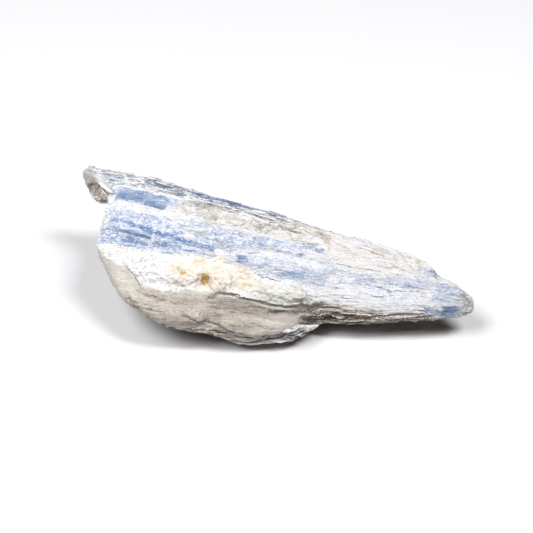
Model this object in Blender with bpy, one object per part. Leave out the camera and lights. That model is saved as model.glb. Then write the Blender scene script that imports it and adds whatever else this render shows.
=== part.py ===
"""Kyanite blade cluster: a loose hand specimen of blue kyanite in white quartz and mica.

It is one grown piece, so it is one object. The long axis and the grain of the blades
run along X, the tapering tip points to +X, and the specimen rests on a flat
cleavage face at Z = 0. Lengths are in millimetres until the last step.
"""

import math
import random

import bmesh
import bpy
from mathutils import Matrix, Vector, noise

MM = 0.001

# The quartz and mica body, as the lines that run its length from the broken left end
# to the tip. In order they go from the ridge at the back, down the sloping top to the
# shoulder, round the front and foot, under the base and up the back. Each point is
# (x, y, z), and a line has points only where it bends.
BODY_LINES = {
    "ridge": [(-51, 10.5, 29.5), (-46, 11.5, 30.4), (-40, 11.5, 30.9), (-34, 10.5, 30.9),
              (-20, 9, 29.9), (-4, 7, 28.2), (4, 6.5, 26.9), (20, 7.6, 23.5), (36, 9.6, 19.7),
              (44, 9.6, 17.7), (50, 7.6, 15.8), (53, 5.6, 14.9), (57, 3.9, 14.5),
              (61, 1.6, 13.3), (64, 0.2, 12.2), (65.3, -0.9, 11.4)],
    "crest": [(-51, 3, 26.6), (-40, 2.5, 27.8), (-28, 0, 26.6), (-12, -1.5, 25.3),
              (4, -2, 23.8), (20, -1, 21.1), (36, 1.5, 17.6), (50, 1.5, 14.6),
              (57, 0, 13.4), (65.3, -1.6, 11.3)],
    "brow": [(-51, -6, 23.8), (-46, -8, 23.7), (-34, -11, 22.3), (-20, -12, 21.4),
             (-4, -11, 20.3), (20, -8, 17), (36, -6, 14.2), (50, -4.5, 12.6),
             (65.3, -2.4, 10.8)],
    "shoulder": [(-51, -12.5, 21.6), (-46, -15.6, 21.2), (-40, -17, 20.4), (-34, -21.6, 17.6),
                 (-28, -22.3, 17), (-12, -20.2, 16.8), (-4, -18, 16.2), (4, -17.9, 14.8),
                 (12, -16.4, 13.8), (20, -12.6, 13.4), (36, -11.2, 11.7), (50, -7.7, 10.7),
                 (61, -5.1, 10.2), (65.3, -3, 10.3)],
    "belly": [(-51, -12.4, 19.5), (-46, -18.6, 18.6), (-40, -23, 16.8), (-34, -24.7, 14.8),
              (-28, -25.4, 14), (-20, -24.7, 13.4), (-4, -22.2, 12.4), (4, -20.8, 11.4),
              (12, -18.4, 10.8), (15, -16.6, 10.6), (20, -12.8, 10), (36, -11, 9.5),
              (50, -8, 9.2), (61, -6.2, 9.4), (65.3, -3.4, 9.8)],
    "foot": [(-51, -9, 17), (-46, -17.6, 15.5), (-40, -24.6, 13.5), (-34, -26.8, 12.5),
             (-28, -28.5, 10.5), (-20, -27.8, 8.8), (-4, -25.4, 6.6), (4, -23.4, 6.4),
             (12, -20, 6.8), (15, -17.4, 7), (20, -12.8, 6.2), (36, -10.2, 7),
             (50, -7.8, 7.8), (61, -6.2, 8.5), (65.3, -3.4, 9.3)],
    "base_front": [(-51, -3, 15.5), (-46, -8, 9.5), (-40, -12, 5), (-34, -14, 2.4),
                   (-28, -16, -0.6), (-8, -20, -0.8), (4, -18, -0.8), (12, -14, -0.4),
                   (20, -10, 0.6), (36, -6, 3.8), (50, -3, 6.5), (61, -4, 8), (65.3, -2.8, 9)],
    "base_back": [(-51, 5, 15), (-46, 3, 9), (-40, 4, 4), (-34, 5, 1.6), (-28, 6, -0.6),
                  (12, 7, -0.8), (28, 7, 1.5), (36, 6, 3.2), (50, 3.5, 6), (57, 0.5, 7),
                  (65.3, -1.8, 9)],
    "heel": [(-51, 10, 17), (-46, 11, 12), (-34, 13, 6), (4, 12.5, 5), (28, 12, 5),
             (36, 11.5, 6), (50, 7.5, 7.5), (57, 3.6, 8), (65.3, -1, 9.4)],
    "back": [(-51, 13, 24), (-46, 15, 22), (-34, 16.5, 20), (-20, 16, 19), (4, 14.5, 17),
             (20, 13.5, 14.5), (36, 13, 12), (44, 12, 11.5), (50, 9.5, 11), (57, 5, 11),
             (65.3, -0.5, 10.4)],
}
BODY_STEP = 3.0

# The long blade along the ridge, whose left end stands out of the body as a beak with
# a hollow, broken end.
RIDGE_LINES = {
    "top_back": [(-62.1, 12.9, 29.6), (-61.3, 14.6, 30.5), (-58, 14.2, 30.9), (-49, 13.2, 31.3),
                 (-38, 12.5, 31.7), (-28, 10.8, 31.0), (-6, 8, 28.9), (3, 7.2, 27.7),
                 (8.2, 6.6, 26.4)],
    "top_front": [(-62.1, 12.3, 29.2), (-61, 12, 29.7), (-57, 10.8, 29.6), (-49, 10.2, 30),
                  (-38, 9.7, 30.8), (-28, 7.9, 30.2), (-8, 5.7, 28.3), (8.2, 4.9, 25.9)],
    "rim": [(-62.1, 12, 28.4), (-61, 10.8, 27.6), (-57, 9.4, 27), (-51, 9.3, 28.4),
            (-38, 9.2, 29.8), (-28, 7.5, 29), (-8, 5.3, 27.2), (8.2, 4.7, 25)],
    "hollow": [(-62.1, 12.2, 27.8), (-61, 10.8, 25.4), (-59, 8.8, 23), (-56.5, 7.6, 21.5),
               (-53.5, 6.2, 22.2), (-49, 8, 24), (-28, 7.6, 26), (8.2, 5.6, 23)],
    "under": [(-62.1, 13, 27.8), (-60, 12.4, 24), (-56.5, 11.5, 21.4), (-49, 9.5, 21),
              (-28, 8, 22), (8.2, 6.4, 20)],
    "behind": [(-62.1, 13.4, 28.6), (-60, 14.2, 26), (-56.5, 14.2, 23), (-49, 13.6, 21.5),
               (-28, 13, 22), (8.2, 10, 20)],
}
RIDGE_STEP = 1.6

# Blades that stand proud of the sloping top, as strips along the grain. Each has its
# left end (x, front y, back y), its right end, and its rise above the body.
TOP_BLADES = {
    "upper_blue": [(-50.4, 4.9, 7.9), (-32.6, 2.5, 6.4), 0.8],
    "upper_white": [(-51.2, 7.4, 9.8), (-20.0, 5.0, 7.6), 0.5],
    "long_blue": [(-51.0, -6.0, -0.6), (19.0, -2.6, 2.0), 0.7],
    "front_blue": [(-50.2, -10.4, -6.0), (-16.0, -7.8, -4.2), 0.4],
    "middle_blue": [(-11.4, -9.4, -6.2), (20.4, -8.8, -4.4), 0.9],
    "right_plate": [(9.5, 2.8, 6.6), (52.6, 2.9, 6.4), 0.7],
    "right_blade": [(26.0, -3.6, -0.4), (51.0, -1.0, 2.0), 0.5],
    "right_white": [(23.0, -11.2, -8.4), (54.0, -6.0, -2.4), 0.4],
}

# Lumps of quartz that swell out of the top: centre (x, y), half-lengths along x, y and z.
TOP_LUMPS = {
    "hump": [(-17.0, 2.2), (14.0, 3.0, 1.9)],
    "hump_end": [(-6.0, 1.6), (6.0, 2.2, 1.4)],
    "snow_left": [(-36.0, -14.5), (9.0, 4.5, 2.2)],
    "snow_middle": [(-24.0, -15.5), (8.0, 5.0, 2.4)],
    "snow_right": [(-13.5, -14.5), (7.0, 4.5, 2.0)],
    "green_lip": [(3.0, -14.0), (13.0, 3.6, 1.6)],
}

# Hollows: centre (x, y, z), half-lengths, and how far and which way the middle sinks.
HOLLOWS = {
    "beak_hollow": [(-57.6, 8.6, 25.2), (3.2, 3.4, 3.0), (0.9, 1.9, -0.2)],
    "rusty_hole": [(-15.5, -16.4, 19.6), (2.2, 2.0, 3.0), (0, 0.6, -2.6)],
    "rusty_slit": [(-23.6, -16.0, 20.2), (2.2, 1.1, 3.0), (0, 0.4, -1.5)],
    "dark_nick": [(-2.6, 2.0, 26.6), (1.8, 1.1, 2.5), (0, 0, -1.4)],
    "tip_notch": [(53.4, 4.9, 15.0), (1.6, 1.8, 1.8), (0, -0.6, -1.3)],
}

# Sheets of mica schist whose broken edges show along the front: the edge's points
# (x, y, z), the sheet's thickness, and how far it reaches into the body.
FRONT_SHEETS = {
    "lip": [[(-33, -22.4, 16.2), (-26, -22.9, 15.6), (-18, -22.3, 15.4), (-11, -21.2, 15.2),
             (-7, -19.2, 15.3), (-2, -19.2, 14.2), (6, -18.9, 13.2), (14, -17.2, 12.6)], 1.2, 7],
    "bench": [[(-38, -26.2, 13.5), (-33, -27.4, 12.7), (-28, -28.9, 10.7), (-20, -28.4, 8.8),
               (-12, -27.2, 6.9), (-8, -25.6, 5.8)], 1.4, 10],
    "lower_sheet": [[(-16, -26.3, 5.6), (-8, -26.1, 4.9), (0, -24.7, 4.7), (8, -22.2, 4.4),
                     (14, -19.2, 4.6)], 1.4, 12],
    "bottom_sheet": [[(-11, -24.9, 3.8), (-5, -25.7, 3.2), (0, -25.0, 3.0), (6, -23.1, 2.8),
                      (12, -20.6, 2.8)], 1.3, 14],
    "flake": [[(6, -22.5, 2.6), (10, -21.8, 2.6), (14, -20.1, 3.0), (17, -17.9, 3.8),
               (19, -15.4, 4.6)], 0.9, 9],
    "right_top": [[(18, -13.8, 11.2), (26, -13.0, 10.6), (34, -12.4, 9.9), (44, -10.3, 9.2),
                   (54, -8.2, 9.0)], 1.1, 6],
    "right_middle": [[(8, -17.4, 9.4), (16, -15.6, 9.0), (24, -14.4, 8.6), (34, -12.8, 8.0),
                      (46, -9.9, 8.0)], 1.0, 6],
    "right_bottom": [[(18.6, -15.4, 5.6), (26, -14.4, 6.0), (34, -13.0, 6.4), (44, -9.9, 7.2),
                      (56, -8.2, 7.7)], 1.2, 8],
}
SHEET_DIP = math.radians(20)

# Cleavage plates that lie on the sloping front: the two body lines they lie between,
# their ends along x, where they lie between the lines, width, rise and how far each end
# narrows.
FRONT_PLATES = {
    "pink_plate": [("belly", "foot"), (-9, 14.5), (0.5, 0.45), 5.6, 0.6, (0.3, 0.35)],
    "left_plate": [("belly", "foot"), (-36, -14), (0.3, 0.3), 4.4, 0.4, (0.4, 0.5)],
}

# Loose bundles of blades that grow along the other sides: the two body lines they lie
# between, how many, and the ranges of their places, lengths, widths and rise.
BLADE_BUNDLES = {
    "upper_back": {"between": ("ridge", "back"), "count": 16, "x": (-50, 50),
                   "share": (0.3, 0.95), "length": (16, 44), "width": (3, 6),
                   "rise": (0.3, 1.4)},
    "lower_back": {"between": ("back", "heel"), "count": 18, "x": (-50, 52),
                   "share": (0.1, 0.9), "length": (16, 50), "width": (3.5, 6.5),
                   "rise": (0.4, 2.4)},
    "heel": {"between": ("heel", "base_back"), "count": 10, "x": (-49, 50),
             "share": (0.1, 0.8), "length": (14, 36), "width": (4, 6.5), "rise": (0.2, 1.0)},
    "underside": {"between": ("base_front", "foot"), "count": 9, "x": (-48, 56),
                  "share": (0.1, 0.6), "length": (12, 30), "width": (3, 5), "rise": (0.1, 0.7)},
}
BLADE_THICKNESS = 2.0

# Blades broken off across the left end, each standing out a little: (y, z), width and
# height of its end, and how far it stands out.
LEFT_ENDS = {
    "top": [(7.0, 26.6), (4.6, 2.0), 0.8],
    "upper": [(1.6, 24.8), (4.8, 2.2), 0.3],
    "middle": [(-3.4, 22.6), (5.2, 2.4), 0.6],
    "front": [(-8.6, 20.8), (3.8, 2.0), 0.2],
    "inner": [(4.0, 20.4), (5.6, 2.6), 0.9],
    "low": [(-1.6, 18.2), (5.0, 2.0), 1.2],
    "back": [(9.4, 21.6), (4.2, 3.0), 0.4],
}

FUSE_VOXEL = 0.55
TRIANGLES = 9400
SEED = 7

# Relief of the bundle: the length, width and height of one blade's face, how far
# neighbouring faces stand above each other, and the same for chips that ignore the grain.
BLADE_FACE = (15.0, 2.3, 2.0)
BLADE_RELIEF = 0.45
CHIP_SIZE = 5.0
CHIP_RELIEF = 0.5
FAN_CENTRE = 160.0

STONE_COLOUR = (0.62, 0.68, 0.76, 1.0)


def clear_scene():
    for obj in list(bpy.data.objects):
        bpy.data.objects.remove(obj)


def add_mesh(name, mesh):
    bmesh.ops.recalc_face_normals(mesh, faces=mesh.faces)
    data = bpy.data.meshes.new(name)
    mesh.to_mesh(data)
    mesh.free()
    obj = bpy.data.objects.new(name, data)
    bpy.context.scene.collection.objects.link(obj)
    return obj


def between(a, b, share):
    return a + (b - a) * share


def on_line(line, x):
    """The line's (y, z) at x."""
    x = min(max(x, line[0][0]), line[-1][0])
    for (x0, y0, z0), (x1, y1, z1) in zip(line, line[1:]):
        if x <= x1:
            break
    share = (x - x0) / (x1 - x0)
    return between(y0, y1, share), between(z0, z1, share)


def loft(name, ribs):
    """A closed solid through cross-sections {x: [(y, z), ...]} with equal corner counts."""
    mesh = bmesh.new()
    rings = [[mesh.verts.new((x, y, z)) for y, z in ribs[x]] for x in sorted(ribs)]
    for near, far in zip(rings, rings[1:]):
        for i in range(len(near)):
            j = (i + 1) % len(near)
            mesh.faces.new((near[i], near[j], far[j], far[i]))
    mesh.faces.new(rings[0][::-1])
    mesh.faces.new(rings[-1])
    return add_mesh(name, mesh)


def loft_lines(name, lines, step):
    """A closed solid whose edges follow the named lines."""
    left = next(iter(lines.values()))[0][0]
    right = next(iter(lines.values()))[-1][0]
    count = round((right - left) / step)
    places = [between(left, right, i / count) for i in range(count + 1)]
    return loft(name, {x: [on_line(line, x) for line in lines.values()] for x in places})


def top_height(x, y):
    """Height of the body's sloping top."""
    corners = [on_line(BODY_LINES[name], x) for name in ("shoulder", "brow", "crest", "ridge")]
    y = min(max(y, corners[0][0]), corners[-1][0])
    for (y0, z0), (y1, z1) in zip(corners, corners[1:]):
        if y <= y1:
            break
    return between(z0, z1, (y - y0) / (y1 - y0))


def top_blade(name, left, right, rise):
    """A strip along the grain whose face stands above the body's top."""
    steps = max(2, round((right[0] - left[0]) / 4))
    ribs = {}
    for i in range(steps + 1):
        share = i / steps
        x = between(left[0], right[0], share)
        front = between(left[1], right[1], share)
        back = between(left[2], right[2], share)
        low, high = top_height(x, front), top_height(x, back)
        ribs[x] = [(front, low - 3), (back, high - 3), (back, high + rise), (front, low + rise)]
    return loft(name, ribs)


def lump(name, centre, radii):
    """A faceted boss of quartz, sunk into the top."""
    mesh = bmesh.new()
    bmesh.ops.create_icosphere(mesh, subdivisions=2, radius=1)
    x, y = centre
    slope = (top_height(x, y + 2) - top_height(x, y - 2)) / 4
    place = Matrix.Translation((x, y, top_height(x, y) - 0.35 * radii[2]))
    turn = Matrix.Rotation(math.atan(slope), 4, "X")
    mesh.transform(place @ turn @ Matrix.Diagonal((*radii, 1)))
    return add_mesh(name, mesh)


def sheet(name, edge, thickness, depth):
    """A sheet of the foliation, from its broken front edge inwards and up."""
    rise = depth * math.tan(SHEET_DIP)
    ribs = {
        x: [(y, z), (y + 0.3, z + thickness), (y + depth, z + thickness + rise), (y + depth, z + rise)]
        for x, y, z in edge
    }
    return loft(name, ribs)


def side_blade(name, lines, ends, shares, width, rise, tapers):
    """A blade that follows the body's side between two of its lines, and narrows to its ends."""
    upper, lower = (BODY_LINES[line] for line in lines)
    steps = max(4, round((ends[1] - ends[0]) / 4))
    ribs = {}
    for i in range(steps + 1):
        along = i / steps
        x = between(*ends, along)
        high, low = Vector(on_line(upper, x)), Vector(on_line(lower, x))
        down = (low - high).normalized()
        outward = Vector((-down.y, down.x))
        centre = high.lerp(low, between(*shares, along))
        narrowing = between(tapers[0], 1, min(1, 4 * along)) * between(tapers[1], 1, min(1, 4 - 4 * along))
        side = down * width / 2 * narrowing
        face, root = centre + outward * rise, centre - outward * BLADE_THICKNESS
        ribs[x] = [face - side, face + side, root + side, root - side]
    return loft(name, ribs)


def blade_bundle(name, bundle, chance):
    """Blades scattered over one side, each with its own length, width and rise."""
    blades = []
    for number in range(bundle["count"]):
        reach = chance.uniform(*bundle["length"]) / 2
        middle = chance.uniform(*bundle["x"])
        ends = (max(middle - reach, bundle["x"][0]), min(middle + reach, bundle["x"][1]))
        share = chance.uniform(*bundle["share"])
        shares = (share + chance.uniform(-0.1, 0.1), share + chance.uniform(-0.1, 0.1))
        width, rise = chance.uniform(*bundle["width"]), chance.uniform(*bundle["rise"])
        tapers = (chance.uniform(0.4, 0.9), chance.uniform(0.4, 0.9))
        label = f"{name}_{number}"
        blades.append(side_blade(label, bundle["between"], ends, shares, width, rise, tapers))
    return blades


def left_end(name, centre, size, stand):
    """The broken end of one blade at the left, as a short bar reaching into the body."""
    y, z = centre
    left = BODY_LINES["ridge"][0][0]
    wide, high = size[0] / 2, size[1] / 2
    ring = [
        (y - wide, z - high), (y + wide, z - 0.4 * high), (y + wide, z + high), (y - wide, z + 0.4 * high)
    ]
    return loft(name, {left - stand: ring, left + 6: ring})


def applied(obj):
    """The object with its modifiers made real."""
    graph = bpy.context.evaluated_depsgraph_get()
    graph.update()
    data = bpy.data.meshes.new_from_object(obj.evaluated_get(graph))
    obj.modifiers.clear()
    obj.data = data
    return obj


def fuse(name, pieces):
    """Joins overlapping closed solids into one closed skin."""
    mesh = bmesh.new()
    for piece in pieces:
        mesh.from_mesh(piece.data)
        bpy.data.objects.remove(piece)
    joined = add_mesh(name, mesh)
    remesh = joined.modifiers.new("fuse", "REMESH")
    remesh.mode = "VOXEL"
    remesh.voxel_size = FUSE_VOXEL
    return applied(joined)


def sink_hollows(obj):
    for vertex in obj.data.vertices:
        for centre, radii, push in HOLLOWS.values():
            away = Vector((vertex.co[i] - centre[i]) / radii[i] for i in range(3)).length
            if away < 1:
                vertex.co += Vector(push) * (1 - away**3)


def relief_at(place):
    """How far the surface stands out at a place, in flat steps between neighbouring blades."""
    fan = (FAN_CENTRE + 50) / (FAN_CENTRE - place.x)
    scaled = Vector(
        (place.x / BLADE_FACE[0], place.y * fan / BLADE_FACE[1], place.z * fan / BLADE_FACE[2])
    )
    blade_centre = noise.voronoi(scaled)[1][0]
    chip_centre = noise.voronoi(place / CHIP_SIZE)[1][0]
    return (
        BLADE_RELIEF * noise.noise(blade_centre * 3.7) + CHIP_RELIEF * noise.noise(chip_centre * 5.1)
    )


def roughen(obj):
    moves = [vertex.normal * relief_at(vertex.co) for vertex in obj.data.vertices]
    for vertex, move in zip(obj.data.vertices, moves):
        vertex.co += move


def drop_crumbs(obj):
    """Deletes loose chips, so that one closed skin is left."""
    mesh = bmesh.new()
    mesh.from_mesh(obj.data)
    loose = set(mesh.verts)
    skins = []
    while loose:
        reached = [loose.pop()]
        for vertex in reached:
            neighbours = {edge.other_vert(vertex) for edge in vertex.link_edges} & loose
            loose -= neighbours
            reached.extend(neighbours)
        skins.append(reached)
    skins.remove(max(skins, key=len))
    bmesh.ops.delete(mesh, geom=[vertex for skin in skins for vertex in skin], context="VERTS")
    mesh.to_mesh(obj.data)
    mesh.free()


def thin_out(obj, triangles):
    decimate = obj.modifiers.new("thin_out", "DECIMATE")
    decimate.use_collapse_triangulate = True
    decimate.ratio = triangles / (2 * len(obj.data.polygons))
    return applied(obj)


def cleave_base(obj):
    """Cuts the underside flat at Z = 0, so that the specimen rests on it."""
    mesh = bmesh.new()
    mesh.from_mesh(obj.data)
    everything = mesh.verts[:] + mesh.edges[:] + mesh.faces[:]
    cut = bmesh.ops.bisect_plane(
        mesh, geom=everything, plane_co=(0, 0, 0), plane_no=(0, 0, -1), clear_outer=True
    )
    rim = [part for part in cut["geom_cut"] if isinstance(part, bmesh.types.BMEdge)]
    base = bmesh.ops.holes_fill(mesh, edges=rim, sides=0)["faces"]
    bmesh.ops.triangulate(mesh, faces=base)
    mesh.to_mesh(obj.data)
    mesh.free()


def settle_in_frame(obj):
    """Puts the middle of the specimen's plan over the origin, and turns millimetres to metres."""
    corners = [Vector(corner) for corner in obj.bound_box]
    middle = (min(corners, key=lambda c: c.x).x + max(corners, key=lambda c: c.x).x) / 2
    depth = (min(corners, key=lambda c: c.y).y + max(corners, key=lambda c: c.y).y) / 2
    obj.data.transform(Matrix.Scale(MM, 4) @ Matrix.Translation((-middle, -depth, 0)))


def paint(obj, colour):
    material = bpy.data.materials.new("kyanite_and_quartz")
    material.use_nodes = True
    shader = material.node_tree.nodes["Principled BSDF"]
    shader.inputs["Base Color"].default_value = colour
    shader.inputs["Roughness"].default_value = 0.45
    obj.data.materials.clear()
    obj.data.materials.append(material)


clear_scene()
chance = random.Random(SEED)
pieces = [
    loft_lines("body", BODY_LINES, BODY_STEP),
    loft_lines("ridge_blade", RIDGE_LINES, RIDGE_STEP),
]
pieces += [top_blade(name, *sizes) for name, sizes in TOP_BLADES.items()]
pieces += [lump(name, *sizes) for name, sizes in TOP_LUMPS.items()]
pieces += [sheet(name, *sizes) for name, sizes in FRONT_SHEETS.items()]
pieces += [side_blade(name, *sizes) for name, sizes in FRONT_PLATES.items()]
pieces += [left_end(name, *sizes) for name, sizes in LEFT_ENDS.items()]
for name, bundle in BLADE_BUNDLES.items():
    pieces += blade_bundle(name, bundle, chance)
specimen = fuse("kyanite_blade_cluster", pieces)
sink_hollows(specimen)
roughen(specimen)
thin_out(specimen, TRIANGLES)
cleave_base(specimen)
drop_crumbs(specimen)
settle_in_frame(specimen)
paint(specimen, STONE_COLOUR)
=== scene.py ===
import functools
import math
import random

import bmesh
import bpy
import numpy as np
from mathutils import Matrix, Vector
from mathutils.bvhtree import BVHTree


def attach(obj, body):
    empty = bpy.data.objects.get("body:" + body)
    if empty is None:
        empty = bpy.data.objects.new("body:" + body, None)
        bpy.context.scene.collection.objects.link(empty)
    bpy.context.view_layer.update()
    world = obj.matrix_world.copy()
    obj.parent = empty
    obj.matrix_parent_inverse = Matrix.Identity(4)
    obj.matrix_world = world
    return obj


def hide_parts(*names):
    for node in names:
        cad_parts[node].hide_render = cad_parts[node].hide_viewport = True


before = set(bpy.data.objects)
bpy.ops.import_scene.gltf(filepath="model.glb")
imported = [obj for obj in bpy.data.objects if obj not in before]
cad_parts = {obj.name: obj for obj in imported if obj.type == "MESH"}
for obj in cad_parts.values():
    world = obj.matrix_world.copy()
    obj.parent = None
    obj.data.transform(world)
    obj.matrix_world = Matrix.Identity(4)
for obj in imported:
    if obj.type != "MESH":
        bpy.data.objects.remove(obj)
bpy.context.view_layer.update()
mm = 0.001
chance = random.Random(11)
drawn = chance.uniform  # a number between two others
print("frame loaded")


# steady random numbers and soft noise on arrays of points
def hashed(cells, seed):  # 0 to 1 for each whole-number cell
    steps = cells @ np.array([12.9898, 78.233, 37.719]) + seed * 9.17
    return np.abs(np.modf(np.sin(steps) * 43758.5453)[0])


def softNoise(points, seed):  # -1 to 1
    base = np.floor(points)
    part = points - base
    part = part * part * (3 - 2 * part)
    total = np.zeros(len(points))
    for corner in np.ndindex(2, 2, 2):
        share = np.prod(np.where(np.array(corner) == 1, part, 1 - part), axis=1)
        total += share * hashed(base + corner, seed)
    return total * 2 - 1


def layeredNoise(points, seed, layers=3):
    total = np.zeros(len(points))
    for layer in range(layers):
        total += softNoise(points * 2.03**layer, seed + layer * 3.1) * 0.5**layer
    return total


def ramp(values, low, high):  # 0 below low, 1 above high, smooth between
    share = np.clip((values - low) / (high - low), 0, 1)
    return share * share * (3 - 2 * share)


def fall(values, low, high):  # 1 below low, 0 above high
    return 1 - ramp(values, low, high)


# The grain: every blade fans out from a place past the tip, and its flat faces lean to
# the front.
grain = {
    "focus": (98.6, 4.5, 12),  # mm, where the blades would meet
    "reach": 150,  # mm, from there to the thick end, where the spread is true to size
    "lean": math.radians(27),
}


def grainPlace(points):  # along, across and into the flat blades, in mm at the thick end
    spread = grain["reach"] / np.maximum(grain["focus"][0] - points[:, 0], 25)
    y = (points[:, 1] - grain["focus"][1]) * spread
    z = (points[:, 2] - grain["focus"][2]) * spread
    flat, steep = math.cos(grain["lean"]), math.sin(grain["lean"])
    return np.column_stack([points[:, 0], y * flat + z * steep, z * flat - y * steep])


def laths(place, width, length, seed):  # -1 to 1, one level for each blade of a bundle
    sway = softNoise(place * [0.03, 0.12, 0.12], seed + 40) * 0.9
    row = np.floor(place[:, 1] / width + sway)
    layer = np.floor(place[:, 2] / (width * 0.9) + sway * 0.7)
    start = hashed(np.column_stack([row, layer, row * 0]), seed + 5) * 7
    piece = np.floor(place[:, 0] / length + start)
    return hashed(np.column_stack([row, layer, piece]), seed) * 2 - 1


marksFrom = np.array([0, 1.93, 0])  # mm, where in the frame the marks are measured from

# The skin of the whole stone, in mm. The lines are y against x, seen from above, and the
# sheet line is z against x.
stone = {
    "voxel": 0.34,  # size of the skin's faces
    "polish": 2,  # rounds of smoothing before the relief goes on
    "triangles": 196000,
    "frontRounds": 36,  # of smoothing on the broken front
    "snowRounds": 14,  # of smoothing on the granular quartz
    "topRounds": 5,  # of smoothing on the rest of the top
    "stepRounds": 80,  # of smoothing along the step line
    "topLaths": [(2.1, 9, 0.05), (0.9, 3.5, 0.07), (0.6, 2.2, 0.07)],  # width, length, relief
    "sideLaths": [(2.6, 16, 0.34), (1.1, 7, 0.18), (0.5, 9, 0.1)],
    "endLaths": [(1.5, 60, 0.35), (0.7, 60, 0.2)],  # on the broken ends of blades
    "grit": 0.26,  # relief of the granular quartz
    "ledge": 0.8,  # how far the top overhangs the broken front
    "pleats": 0.1,  # slanting pleats on the broken front
    "shelves": 0.36,  # height of the cleavage steps on the broken front
    "lipLine": [(-52, -9.2), (-47, -12.3), (-41, -13.8), (-35, -18), (-29, -18.2), (-25.8, -17.5),
                (-21, -16.3), (-15, -15.8), (-9.6, -15), (-5, -14.8), (3, -14.8), (8, -14.2),
                (11, -13.1), (19, -9.2), (35, -7.9), (49, -4.9), (55, -4.4), (60, -3.4), (64, -1.6)],
    "snowLine": [(-52, -7.2), (-46, -8.2), (-41, -8), (-31, -7.2), (-25, -6.2), (-23, -4.1),
                 (-20, -4.3), (-15, -5.2), (-12, -6.5), (-4, -7.3), (1, -7.5), (6, -8.4),
                 (11, -9.6), (18, -8.4), (22, -8.6)],
    "humpLine": [(-36, 6.4), (-30, 5.4), (-20, 4), (-10, 3.4), (0, 3.4), (10, 4.4), (20, 3)],
    "humpTop": [(-36, 7), (-28, 9.6), (-18, 9.4), (-8, 8.4), (2, 8), (12, 9), (20, 9)],
    "ridgeLine": [(-64, 15.4), (-54, 14.6), (-47, 12.2), (-38, 10.2), (-28, 10), (-16, 9.4), (-4, 8.8),
                  (8, 8.6), (16, 10.5), (30, 12)],
    "stepLine": [(-14, -6.4), (-7, -6), (2, -6.3), (11, -5.9), (19, -5.6)],
    "sheetLine": [(-44, 9), (-30, 10.4), (-20, 9), (-13, 8.4), (-6, 7.4), (2, 5.6), (9, 4.4),
                  (14, 5)],
}

# small swells of the skin: centre, reach and push (x, y, z), in mm
swells = {
    "beakCheek": ((-58.3, 12.6, 24), 4.6, (-2.2, -0.3, -0.4)),
    "pitFloor": ((-17.2, -12.2, 17.8), 2.4, (0, 0, 1.3)),
}

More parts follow.
